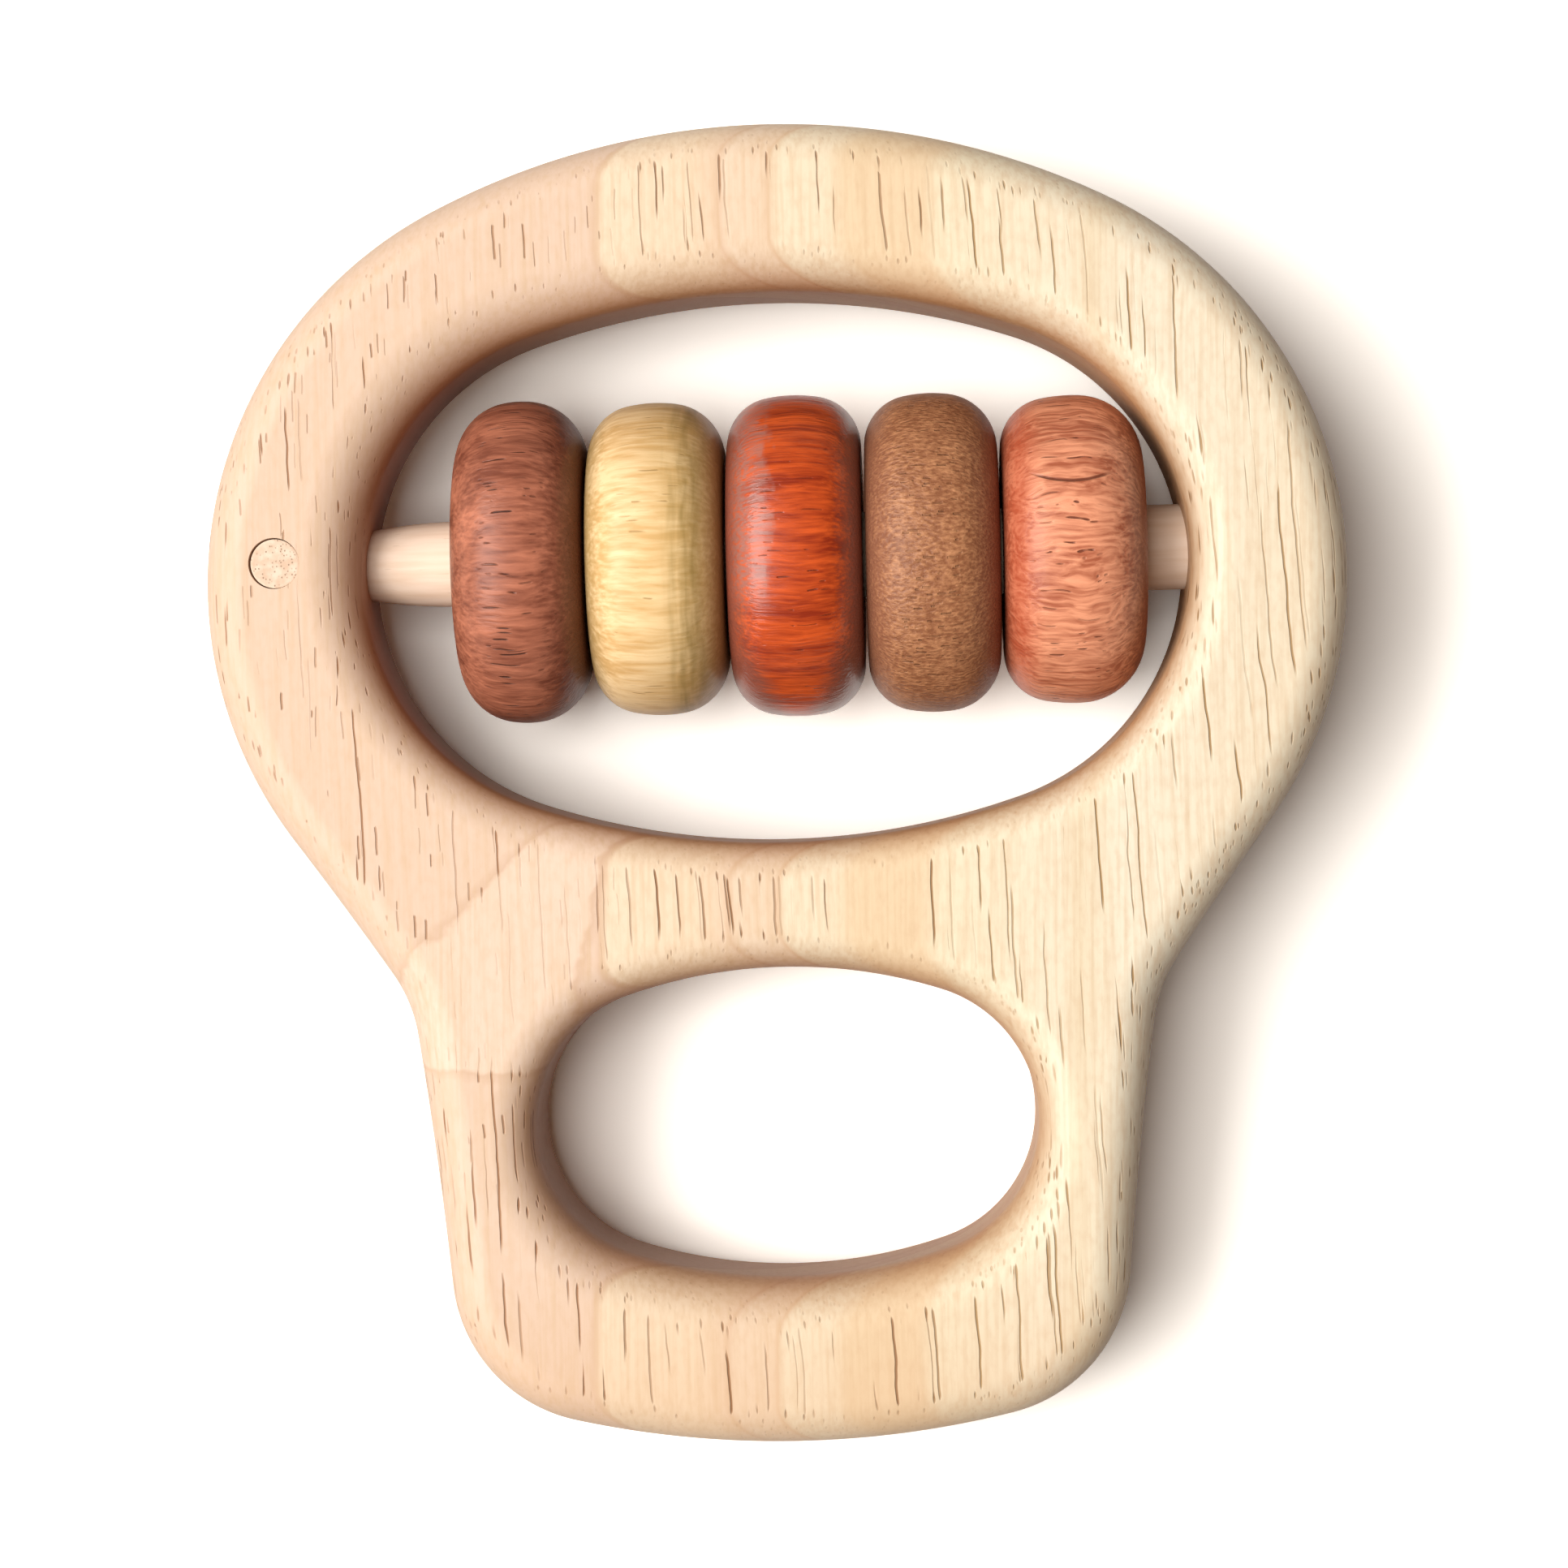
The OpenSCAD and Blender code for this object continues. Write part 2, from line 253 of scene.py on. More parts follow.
# The hole for the lock pin is a shade wide on the side away from the window, and its mouth is just eased.
pin_low, pin_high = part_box("lock_pin")
pin_place = np.array([(pin_low.x + pin_high.x) / 2, (pin_low.y + pin_high.y) / 2])
pin_radius = (pin_high.x - pin_low.x) / 2
pin_gap = 0.09 * MM
pin_hole_shift = np.array([-0.1, 0.03]) * MM
pin_hole_points = 72
pin_hole_turn = np.linspace(0, 2 * math.pi, pin_hole_points, endpoint=False)
pin_hole_middle = pin_place + pin_hole_shift
pin_hole = (pin_hole_middle + (pin_radius + pin_gap) * along(pin_hole_turn), -along(pin_hole_turn))
pin_hole_depth = np.array([0, 0.1, 0.4, 2, 15.2]) * MM
pin_hole_out = np.array([-0.03, 0, 0, 0, 0]) * MM
pin_hole_section = (pin_hole_out, half_thickness - pin_hole_depth,
                    np.array([0, 1, 1, 1, 1]), np.array([1, 0, 0, 0, 0]))

# The grip's edge is eased wider on its lower side, and the window's at its upper left.
upper_left = np.array([1, -1]) / math.sqrt(2)
outline_rounds = np.full(len(outline[0]), edge_radius)
window_rounds = edge_radius + window_easing * np.maximum(window[1] @ upper_left, 0)
grip_rounds = edge_radius + grip_easing * np.maximum(grip[1][:, 1], 0)


def board_surface():
    """The whole surface of the board: four swept walls, the two flat faces between them and the hole's
    floor. Gives its points, faces and normals, and 1 for each point on the wall of an opening, 0 for the
    others."""
    places, normals, faces, tops, bottoms, opening = [], [], [], [], [], []
    count = 0
    for loop, section in [(outline, edge_section(outline_rounds)), (window, edge_section(window_rounds)),
                          (grip, edge_section(grip_rounds)), (pin_hole, pin_hole_section)]:
        wall, normal = swept(loop, section)
        rows, columns = wall.shape[:2]
        faces.extend(grid_faces(rows, columns, count).tolist())
        number = count + np.arange(rows * columns).reshape(rows, columns)
        tops.append((wall[:, 0, :2], number[:, 0]))
        bottoms.append((wall[:, -1, :2], number[:, -1]))
        places.append(wall.reshape(-1, 3))
        normals.append(normal.reshape(-1, 3))
        opening.append(np.full(rows * columns, float(loop is window or loop is grip)))
        count += rows * columns
    faces.append(bottoms.pop()[1].tolist())
    for rims, up in [(tops, 1), (bottoms, -1)]:
        spread, corners = flat_face([rim for rim, number in rims])
        number = np.concatenate([number for rim, number in rims] + [count + np.arange(len(spread))])
        faces.extend(number[corners][:, ::up].tolist())
        level = np.full((len(spread), 1), up * half_thickness)
        places.append(np.concatenate([spread, level], axis=1))
        normals.append(np.tile([0, 0, up], (len(spread), 1)))
        opening.append(np.zeros(len(spread)))
        count += len(spread)
    return np.concatenate(places), faces, np.concatenate(normals), np.concatenate(opening)


def make_piece(name, places, faces, material, body, node, normals=None):
    """A piece with its place in its mesh, which stands for a node of the frame and rides on that node's
    body."""
    mesh = bpy.data.meshes.new(name)
    mesh.from_pydata(places, [], faces)
    mesh.shade_smooth()
    mesh.materials.append(material)
    if normals is not None:
        mesh.normals_split_custom_set_from_vertices(normals)
    piece = bpy.data.objects.new(name, mesh)
    bpy.context.scene.collection.objects.link(piece)
    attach(piece, body)
    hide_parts(node)
    return piece


def paint(code):
    """Linear colour of an sRGB hex value."""
    srgb = np.array([int(code[i:i + 2], 16) for i in (0, 2, 4)]) / 255
    linear = np.where(srgb <= 0.04045, srgb / 12.92, ((srgb + 0.055) / 1.055) ** 2.4)
    return (*linear.tolist(), 1.0)


def add_node(tree, kind, inputs, out=0, stops=(), **settings):
    """Adds a node with its settings and links, and gives one of its outputs. Inputs are values or other
    nodes' outputs, by a socket's name or number. Stops are the places and colours of a ramp."""
    node = tree.nodes.new("ShaderNode" + kind)
    for name, value in settings.items():
        setattr(node, name, value)
    for name, value in inputs.items():
        if isinstance(value, bpy.types.NodeSocket):
            tree.links.new(value, node.inputs[name])
        else:
            node.inputs[name].default_value = value
    for place, colour in stops:
        node.color_ramp.elements.new(place).color = colour
    if stops:
        node.color_ramp.elements.remove(node.color_ramp.elements[0])
        node.color_ramp.elements.remove(node.color_ramp.elements[-1])
    return node.outputs[out] if node.outputs else None


def start_material(name):
    """A new material with its tree, and the place on the piece in millimetres."""
    material = bpy.data.materials.new(name)
    material.use_nodes = True
    tree = material.node_tree
    tree.nodes.clear()
    spot = add_node(tree, "TexCoord", {}, "Object")
    place = add_node(tree, "VectorMath", {0: spot, "Scale": 1 / MM}, operation="SCALE")
    return material, tree, place


def finish_material(tree, colour, height, relief, **surface):
    """Ends a material in a shader with a colour and a relief of that many millimetres."""
    bump = add_node(tree, "Bump", {"Height": height, "Distance": relief * MM, "Strength": 1.0})
    sockets = {"Base Color": colour, "Normal": bump, "Coat Normal": bump}
    sockets.update({name.replace("_", " "): value for name, value in surface.items()})
    shader = add_node(tree, "BsdfPrincipled", sockets)
    add_node(tree, "OutputMaterial", {"Surface": shader})


def stained(tree, tone, stain, value, low=0.0, high=1.0, most=1.0):
    """A tone under a stain: none of it where a value is at its low end, the greatest share at its high
    end."""
    share = add_node(tree, "MapRange", {0: value, 1: low, 2: high, 4: most})
    return add_node(tree, "Mix", {0: share, 6: tone, 7: stain}, 2, data_type="RGBA")


def faded(tree, amount, value, low=0.0, high=1.0, most=1.0):
    """An amount faded out where a value is at its low end, and left at its greatest share at the high
    end."""
    share = add_node(tree, "MapRange", {0: value, 1: low, 2: high, 4: most})
    return add_node(tree, "Math", {0: amount, 1: share}, operation="MULTIPLY")


def stirred(tree, place, scale, push):
    """A place pushed about by a slow noise, which makes straight grain wander. Scale is per millimetre,
    and push is in millimetres."""
    spot = add_node(tree, "VectorMath", {0: place, 1: scale}, operation="MULTIPLY")
    noise = add_node(tree, "TexNoise", {"Vector": spot, "Scale": 1.0, "Detail": 1.0}, "Color")
    evened = add_node(tree, "VectorMath", {0: noise, 1: (0.5, 0.5, 0.5)}, operation="SUBTRACT")
    return add_node(tree, "VectorMath", {0: evened, 1: push, 2: place}, operation="MULTIPLY_ADD")


def streaked(tree, place, scale, detail):
    """A noise drawn out along the grain. Scale is per millimetre."""
    spot = add_node(tree, "VectorMath", {0: place, 1: scale}, operation="MULTIPLY")
    return add_node(tree, "TexNoise", {"Vector": spot, "Scale": 1.0, "Detail": detail})


def beyond(tree, place, way, start):
    """How far a place lies beyond a plane that faces a way, in millimetres."""
    reach = add_node(tree, "VectorMath", {0: place, 1: way}, "Value", operation="DOT_PRODUCT")
    return add_node(tree, "Math", {0: reach, 1: start}, operation="SUBTRACT")


def vessels(tree, place, cell, radius, specks, depth=1.0):
    """Open vessels of a wood, thin tubes along its grain: one tube in each cell of a stretched scatter of
    points, each of its own length and darkness. The longest side of a cell lies along the grain. Where
    the surface cuts across the grain they are specks, which sanding closes but for a share. Sizes in
    millimetres. Real vessels are finer, about 0.1 to 0.2 mm across, and are drawn coarser so that they
    show."""
    core = 0.4 * radius
    shortest, longest, taper = 0.1, 0.48, 0.07
    faintest, darkest_from = 0.15, 0.8
    sloping, steep = 0.15, 0.5
    grain = int(np.argmax(cell))
    across = [0 if i == grain else side for i, side in enumerate(cell)]
    lengthwise = [1 if i == grain else 0 for i in range(3)]
    scaled = add_node(tree, "VectorMath", {0: place, 1: cell}, operation="DIVIDE")
    chances = add_node(tree, "TexVoronoi", {"Vector": scaled, "Scale": 1.0}, "Color")
    middle = chances.node.outputs["Position"]
    chance = add_node(tree, "SeparateColor", {0: chances})
    other_chance = chance.node.outputs[1]
    offset = add_node(tree, "VectorMath", {0: scaled, 1: middle}, operation="SUBTRACT")
    sideways = add_node(tree, "VectorMath", {0: offset, 1: across}, operation="MULTIPLY")
    distance = add_node(tree, "VectorMath", {0: sideways}, "Value", operation="LENGTH")
    tube = add_node(tree, "MapRange", {0: distance, 1: radius, 2: core}, interpolation_type="SMOOTHSTEP")
    run = add_node(tree, "VectorMath", {0: offset, 1: lengthwise}, "Value", operation="DOT_PRODUCT")
    reach = add_node(tree, "Math", {0: run}, operation="ABSOLUTE")
    half = add_node(tree, "MapRange", {0: other_chance, 3: shortest, 4: longest})
    left = add_node(tree, "Math", {0: half, 1: reach}, operation="SUBTRACT")
    ends = add_node(tree, "MapRange", {0: left, 2: taper}, interpolation_type="SMOOTHSTEP")
    dark = add_node(tree, "MapRange", {0: chance, 2: darkest_from, 3: faintest * depth, 4: depth})
    normal = add_node(tree, "TexCoord", {}, "Normal")
    facing = add_node(tree, "VectorMath", {0: normal, 1: lengthwise}, "Value", operation="DOT_PRODUCT")
    facing = add_node(tree, "Math", {0: facing}, operation="ABSOLUTE")
    open_still = add_node(tree, "MapRange", {0: facing, 1: sloping, 2: steep, 3: 1.0, 4: specks})
    for factor in (ends, dark, open_still):
        tube = add_node(tree, "Math", {0: tube, 1: factor}, operation="MULTIPLY")
    return tube


def oiled_rubberwood():
    """Rubberwood, sanded and oiled: pale straw with a pink cast. Growth bands cross the board aslant, so
    they run straight up its face and swing aside on the rounded edges. Long open vessels show as thin
    brown lines on the face and as specks where an edge cuts across them. A patch of smoother wood lies at
    the left shoulder. The wood is a little darker towards the foot. The walls of the openings carry a
    browner tint, which is painted shade for the shadow that lies in them."""
    material, tree, place = start_material("oiled_rubberwood")
    face = half_thickness / MM
    grain = stirred(tree, place, (0.05, 0.015, 0.05), (3, 0, 0.8))

    # Growth bands, by millimetres from the board's middle at its face.
    band = beyond(tree, grain, (1, -0.023, 1.5), 1.5 * face)
    first, last = -60, 50
    bands = [(-59, "d5b79e"), (-17.3, "d6b9a1"), (-16.8, "c9a688"), (-16.3, "e0c9ac"), (-8, "dfc6a8"),
             (-5.3, "d9bc9f"), (-4.9, "cfad8e"), (-4.4, "ddc4a9"), (-0.7, "dabfa2"), (-0.2, "d1b08f"),
             (0.3, "e0ceb1"), (5, "dfccae"), (7, "dbc19d"), (13, "dbc09c"), (15, "e0d0b1"), (26, "e1d2b7"),
             (28, "dccaab"), (32, "e2d5bc"), (49, "e0d0b4")]
    stops = [((mm - first) / (last - first), paint(code)) for mm, code in bands]
    step = add_node(tree, "MapRange", {0: band, 1: first, 2: last})
    tone = add_node(tree, "ValToRGB", {0: step}, stops=stops)

    # The smoother patch, three planes with an uneven edge and a darker line round it.
    upper_left_side = beyond(tree, grain, (0.687, -0.727, 0.5), -12.5 + 0.5 * face)
    right_side = beyond(tree, grain, (-0.971, 0.237, -0.7), 14.5 - 0.7 * face)
    lower_end = beyond(tree, grain, (0.08, 1, 0.3), -28.4 + 0.3 * face)
    depth_in = add_node(tree, "Math", {0: upper_left_side, 1: right_side}, operation="MINIMUM")
    depth_in = add_node(tree, "Math", {0: depth_in, 1: lower_end}, operation="MINIMUM")
    unevenness = 3.0
    uneven = streaked(tree, place, (0.35, 0.35, 0.35), 3.0)
    depth_in = add_node(tree, "Math", {0: uneven, 1: unevenness, 2: depth_in}, operation="MULTIPLY_ADD")
    depth_in = add_node(tree, "Math", {0: depth_in, 1: unevenness / 2}, operation="SUBTRACT")
    patch_edge = 0.6
    tone = stained(tree, tone, paint("e1c7b0"), depth_in, 0.0, patch_edge, 0.55)
    rim = add_node(tree, "MapRange", {0: depth_in, 1: -0.9, 2: -0.1})
    rim = faded(tree, rim, depth_in, 0.4, 0.0)
    tone = stained(tree, tone, paint("c09a7c"), rim, most=0.4)

    # Fibres, mottle and the darker foot.
    fibre = streaked(tree, grain, (2.2, 0.08, 2.2), 3.0)
    mottle = streaked(tree, place, (1.6, 0.7, 1.6), 3.0)
    foot = beyond(tree, grain, (0, -1, 0), 44.0)
    tone = stained(tree, tone, paint("c8a67e"), fibre, 0.42, 0.72, 0.4)
    tone = stained(tree, tone, paint("c8a47f"), mottle, 0.45, 0.8, 0.35)
    # The wood is darker towards the foot, by a tint that grows over its last 12 mm.
    tone = stained(tree, tone, paint("c9a27c"), foot, 0.0, 12.0, 0.35)

    # Vessels wander a little and fan out up the board. They are short on the left shoulder, long elsewhere,
    # finer on the right and few in the patch.
    tubes = stirred(tree, grain, (0.2, 0.1, 0.2), (0.8, 0, 0.1))
    tubes = stirred(tree, tubes, (0.5, 0.35, 0.5), (0.3, 0, 0))
    sideways = add_node(tree, "SeparateXYZ", {0: place}, "X")
    upward = sideways.node.outputs["Y"]
    slant, fanning = 0.045, 0.0006
    fan = add_node(tree, "Math", {0: sideways, 1: fanning, 2: slant}, operation="MULTIPLY_ADD")
    drift = add_node(tree, "Math", {0: fan, 1: upward}, operation="MULTIPLY")
    aslant = add_node(tree, "CombineXYZ", {0: drift})
    tubes = add_node(tree, "VectorMath", {0: tubes, 1: aslant}, operation="ADD")
    long_pores = vessels(tree, tubes, (0.75, 26.0, 0.45), 0.14, 0.15)
    short_pores = vessels(tree, tubes, (0.9, 3.6, 0.5), 0.12, 0.15)
    thin_pores = vessels(tree, tubes, (0.85, 36.0, 0.45), 0.11, 0.1)
    shoulder = add_node(tree, "MapRange", {0: band, 1: -12.0, 2: -19.0})
    shoulder = faded(tree, shoulder, beyond(tree, grain, (0, 1, 0), -38.0), 0.0, 5.0)
    fewer = add_node(tree, "Math", {0: shoulder, 1: 0.45}, operation="MULTIPLY")
    long_pores = add_node(tree, "MapRange", {0: long_pores, 1: fewer})
    short_pores = faded(tree, short_pores, shoulder, most=0.8)
    thin_pores = faded(tree, thin_pores, band, 15.0, 21.0, 0.85)
    pores = add_node(tree, "Math", {0: long_pores, 1: short_pores}, operation="MAXIMUM")
    pores = add_node(tree, "Math", {0: pores, 1: thin_pores}, operation="MAXIMUM")
    plain = add_node(tree, "MapRange", {0: depth_in, 2: patch_edge, 3: 1.0, 4: 0.25})
    pores = add_node(tree, "Math", {0: pores, 1: plain}, operation="MULTIPLY")
    pore_tone = stained(tree, paint("875a34"), paint("976743"), band, -14.0, -20.0)
    pore_tone = stained(tree, pore_tone, paint("a07a4a"), band, 12.0, 18.0)
    tone = stained(tree, tone, pore_tone, pores, most=0.9)

    # Painted shade on the walls of the openings: a browner tint that grows as they turn away from the face.
    normal = add_node(tree, "TexCoord", {}, "Normal")
    upright = add_node(tree, "SeparateXYZ", {0: normal}, "Z")
    upright = add_node(tree, "Math", {0: upright}, operation="ABSOLUTE")
    opening = add_node(tree, "Attribute", {}, "Fac", attribute_name="opening")
    soaked = faded(tree, opening, upright, 0.95, 0.3)
    tone = add_node(tree, "Mix", {0: soaked, 6: tone, 7: paint("d6b59c")}, 2, data_type="RGBA",
                    blend_type="MULTIPLY")
    raised = add_node(tree, "Math", {0: fibre, 1: 0.08}, operation="MULTIPLY")
    height = add_node(tree, "Math", {0: raised, 1: pores}, operation="SUBTRACT")
    finish_material(tree, tone, height, 0.08, Roughness=0.5, IOR=1.5)
    return material


places, faces, normals, opening = board_surface()
board = make_piece("rattle_frame", places, faces, oiled_rubberwood(), "frame_body", "frame",
                   normals)
board.data.attributes.new("opening", "FLOAT", "POINT").data.foreach_set("value", opening)

# Dowel: a pale smooth rod across the ring, which the beads run on. Its thinner end is glued into a blind
# socket on the pin's side, and its other end runs through the ring and is sanded flush with the edge.
axle_low, axle_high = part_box("axle")
axle_y = (axle_low.y + axle_high.y) / 2
axle_radius = (axle_high.z - axle_low.z) / 2
tenon_radius = 3.25 * MM
taper_length = 8 * MM
dowel_sides = 72
tenon_steps = 8
taper_steps = 24
rod_steps = 40
end_rings = 8
shoulder_x = -window_width / 2
taper_end_x = shoulder_x + taper_length


def revolved(profile, start, sides, axis):
    """Closed surface of a profile turned round an axis through a point: the profile gives how far along
    the axis and how far from it each point lies, and begins and ends on the axis, where each end is one
    point."""
    turn = np.linspace(0, 2 * math.pi, sides, endpoint=False)
    ring = profile[1:-1]
    places = np.empty((sides, len(ring), 3))
    others = [i for i in range(3) if i != axis]
    places[..., axis] = ring[:, 0]
    places[..., others[0]] = np.cos(turn)[:, None] * ring[:, 1]
    places[..., others[1]] = np.sin(turn)[:, None] * ring[:, 1]
    ends = np.zeros((2, 3))
    ends[:, axis] = profile[[0, -1], 0]
    count = sides * len(ring)
    faces = grid_faces(sides, len(ring)).tolist()
    first = np.arange(sides) * len(ring)
    last = first + len(ring) - 1
    pole = np.full(sides, count)
    faces += np.stack([pole, np.roll(first, -1), first], axis=1).tolist()
    faces += np.stack([pole + 1, last, np.roll(last, -1)], axis=1).tolist()
    return np.concatenate([places.reshape(-1, 3), ends]) + start, faces


def dowel_profile():
    """The rod from its tenon to its flush end: radius by distance along it, with an easy taper between.
    Each flat end is a few rings that close to a point."""
    tenon_rings = np.array([0, 0.5, 1])
    x = np.concatenate([[axle_low.x] * len(tenon_rings),
                        np.linspace(axle_low.x, shoulder_x, tenon_steps)[1:],
                        np.linspace(shoulder_x, taper_end_x, taper_steps)[1:],
                        np.linspace(taper_end_x, axle_high.x, rod_steps)[1:],
                        [axle_high.x] * end_rings])
    ease = np.clip((x - shoulder_x) / taper_length, 0, 1)
    radius = tenon_radius + (axle_radius - tenon_radius) * ease * (2 - ease)
    radius[:len(tenon_rings)] *= tenon_rings
    radius[-end_rings:] *= np.linspace(1, 0, end_rings + 1)[1:]
    return np.stack([x, radius], axis=1)


def smooth_dowel_wood():
    """A planed hardwood rod: pale, even and close-grained, with faint streaks along it and a dull
    polish."""
    material, tree, place = start_material("smooth_dowel_wood")
    streak = streaked(tree, place, (0.1, 1.6, 1.6), 3.0)
    tone = stained(tree, paint("e6cdb6"), paint("dcbfa4"), streak, 0.35, 0.7)
    pores = vessels(tree, place, (4.0, 0.7, 0.6), 0.06, 0.5)
    tone = stained(tree, tone, paint("a98460"), pores, most=0.3)
    finish_material(tree, tone, streak, 0.02, Roughness=0.5, IOR=1.5)
    return material


places, faces = revolved(dowel_profile(), [0, axle_y, 0], dowel_sides, 0)
ring_edge = side_centre[0] + np.sqrt(side_radius ** 2 - (places[:, 1] - side_centre[1]) ** 2)
flush_end = places[:, 0] > axle_high.x - MM
places[:, 0] = np.minimum(places[:, 0] + flush_end * MM, ring_edge)
make_piece("dowel", places, faces, smooth_dowel_wood(), "frame_body", "axle")

# Lock pin: a short hardwood peg driven through the dowel's socket from the face, and sanded off level with
# it. Its cut end shows, with a fine dark gap round one side where the hole is a little wide.
pin_sides = 64
cut_rings = 12
pin_bevel = 0.02 * MM
pin_sink = 0.05 * MM
pin_tilt = 0.02


def pin_profile():
    """The peg from its foot to its cut end: a straight side with the sharp edge just taken off, and a cut
    end in rings that close to a point."""
    cut_level = half_thickness - pin_sink
    radius = np.array([0, 0.5, 1, 1, 1, 1, 1]) * pin_radius
    height = np.array([pin_low.z, pin_low.z, pin_low.z, 0, 5 * MM, 9 * MM, cut_level - pin_bevel])
    disc = np.linspace(1, 0, cut_rings) * (pin_radius - pin_bevel)
    top = np.full(len(disc), cut_level)
    return np.stack([np.concatenate([height, top]), np.concatenate([radius, disc])], axis=1)


def cut_peg_end():
    """End grain of a hardwood peg, sanded level: a dull tan with close dark specks where its vessels are
    cut."""
    material, tree, place = start_material("cut_peg_end")
    patch = add_node(tree, "TexNoise", {"Vector": place, "Scale": 1.1, "Detail": 4.0})
    tone = stained(tree, paint("dfc5ad"), paint("cfaf94"), patch, 0.35, 0.65)
    pores = vessels(tree, place, (0.34, 0.34, 4.0), 0.09, 1.0)
    tone = stained(tree, tone, paint("8c6a50"), pores, most=0.6)
    sunk = add_node(tree, "Math", {0: pores, 1: -1.0}, operation="MULTIPLY")
    finish_material(tree, tone, sunk, 0.05, Roughness=0.7, IOR=1.5)
    return material


places, faces = revolved(pin_profile(), [*pin_place, 0], pin_sides, 2)
upper_half = places[:, 2] > 0
places[:, 2] += upper_half * pin_tilt * (places[:, 0] - pin_place[0] - pin_radius)
make_piece("lock_peg", places, faces, cut_peg_end(), "frame_body", "lock_pin")

# Beads: five thick wooden rings turned from five different woods, with rounded edges and a gently bowed rim.
# They sit loosely on the dowel, so they spin and slide along it. Their grain lies along the dowel and is
# polished over, so each shows the streaks of its own wood.
bore_radius = 4.3 * MM
bore_edge = 0.5 * MM
grain_bow = 24 * MM
bead_sides = 168
rim_steps = 14
round_steps = 16
flat_steps = 16
bore_steps = 5


def bead_half(width, radius, bow, edge):
    """Half of a bead's section, from the rim's middle round the edge and down the flat side into the
    bore, each an arc or a line. Gives distance along the axis from the bead's middle, and from the
    axis."""
    side = width / 2 - edge
    bow_centre = radius - bow
    rounding = bow_centre + math.sqrt((bow - edge) ** 2 - side ** 2)
    meet = math.atan2(rounding - bow_centre, side)
    rim_turn = np.linspace(math.pi / 2, meet, rim_steps)[:-1]
    edge_turn = np.linspace(meet, 0, round_steps)
    flat = np.linspace(rounding, bore_radius + bore_edge, flat_steps)[1:-1]
    bore_turn = np.linspace(0, -math.pi / 2, bore_steps)
    bore = np.linspace(width / 2 - bore_edge, 0, bore_steps)[1:-1]
    return np.concatenate([
        np.array([0, bow_centre]) + bow * along(rim_turn),
        np.array([side, rounding]) + edge * along(edge_turn),
        np.stack([np.full(len(flat), width / 2), flat], axis=1),
        np.array([width / 2 - bore_edge, bore_radius + bore_edge]) + bore_edge * along(bore_turn),
        np.stack([bore, np.full(len(bore), bore_radius)], axis=1)])


def bead_surface(node, bow, left_edge, right_edge, wobble, phase):
    """A bead's ring: its section turned round the dowel's axis, and drawn in a little by a slow wave
    round it, 1 - w (1 + sin(2 a + p)), outside its bore."""
    low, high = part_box(node)
    width, radius = high.x - low.x, (high.z - low.z) / 2
    left = bead_half(width, radius, bow, left_edge) * [-1, 1]
    section = np.concatenate([bead_half(width, radius, bow, right_edge), left[:0:-1]])
    turn = np.linspace(0, 2 * math.pi, bead_sides, endpoint=False)
    places = np.empty((bead_sides, len(section), 3))
    outside = section[:, 1] > bore_radius + bore_edge
    drawn = 1 - wobble * (1 + np.sin(2 * turn + phase))[:, None] * outside
    places[..., 0] = (low.x + high.x) / 2 + section[:, 0]
    places[..., 1] = axle_y + np.cos(turn)[:, None] * section[:, 1] * drawn
    places[..., 2] = np.sin(turn)[:, None] * section[:, 1] * drawn
    columns = len(section)
    number = np.arange(bead_sides * columns).reshape(bead_sides, columns)
    after = np.roll(number, -1, axis=0)
    right = np.roll(number, -1, axis=1)
    faces = np.stack([number, after, np.roll(after, -1, axis=1), right], axis=-1).reshape(-1, 4)
    return places.reshape(-1, 3), faces.tolist()


def turned_grain(name, node, light, dark, spread, banding, streak):
    """Start of a turned hardwood whose grain lies along the dowel and is taken to follow the bow of the
    rim: streaks of two tones, by their length, width and waver in millimetres, and broad bands of the
    same. The spread gives where the light tone ends and the dark one begins. Gives the material, its
    tree, the place from the bead's middle, the same drawn straight along the grain, the tone and the
    streaks."""
    material, tree, place = start_material(name)
    low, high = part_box(node)
    length, width, waver = streak
    middle = ((low.x + high.x) / 2 / MM, axle_y / MM, 0)
    place = add_node(tree, "VectorMath", {0: place, 1: middle}, operation="SUBTRACT")
    offset = add_node(tree, "SeparateXYZ", {0: place}, "X")
    squared = add_node(tree, "Math", {0: offset, 1: offset}, operation="MULTIPLY")
    bowed = MM ** 2 / (grain_bow * (high.z - low.z))
    widened = add_node(tree, "Math", {0: squared, 1: bowed, 2: 1.0}, operation="MULTIPLY_ADD")
    widened = add_node(tree, "CombineXYZ", {0: 1.0, 1: widened, 2: widened})
    grain = add_node(tree, "VectorMath", {0: place, 1: widened}, operation="MULTIPLY")
    grain = stirred(tree, grain, (0.25, 0.35, 0.35), (0, 2 * waver, 2 * waver))
    streaks = streaked(tree, grain, (1 / length, 1 / width, 1 / width), 4.0)
    broad = streaked(tree, grain, (0.4 / length, 0.18 / width, 0.18 / width), 1.0)
    blend = add_node(tree, "Math", {0: broad, 1: banding, 2: streaks}, operation="MULTIPLY_ADD")
    even = 0.5 + 0.5 * banding
    tone = stained(tree, paint(light), paint(dark), blend, even + spread[0], even + spread[1])
    return material, tree, place, grain, tone, streaks


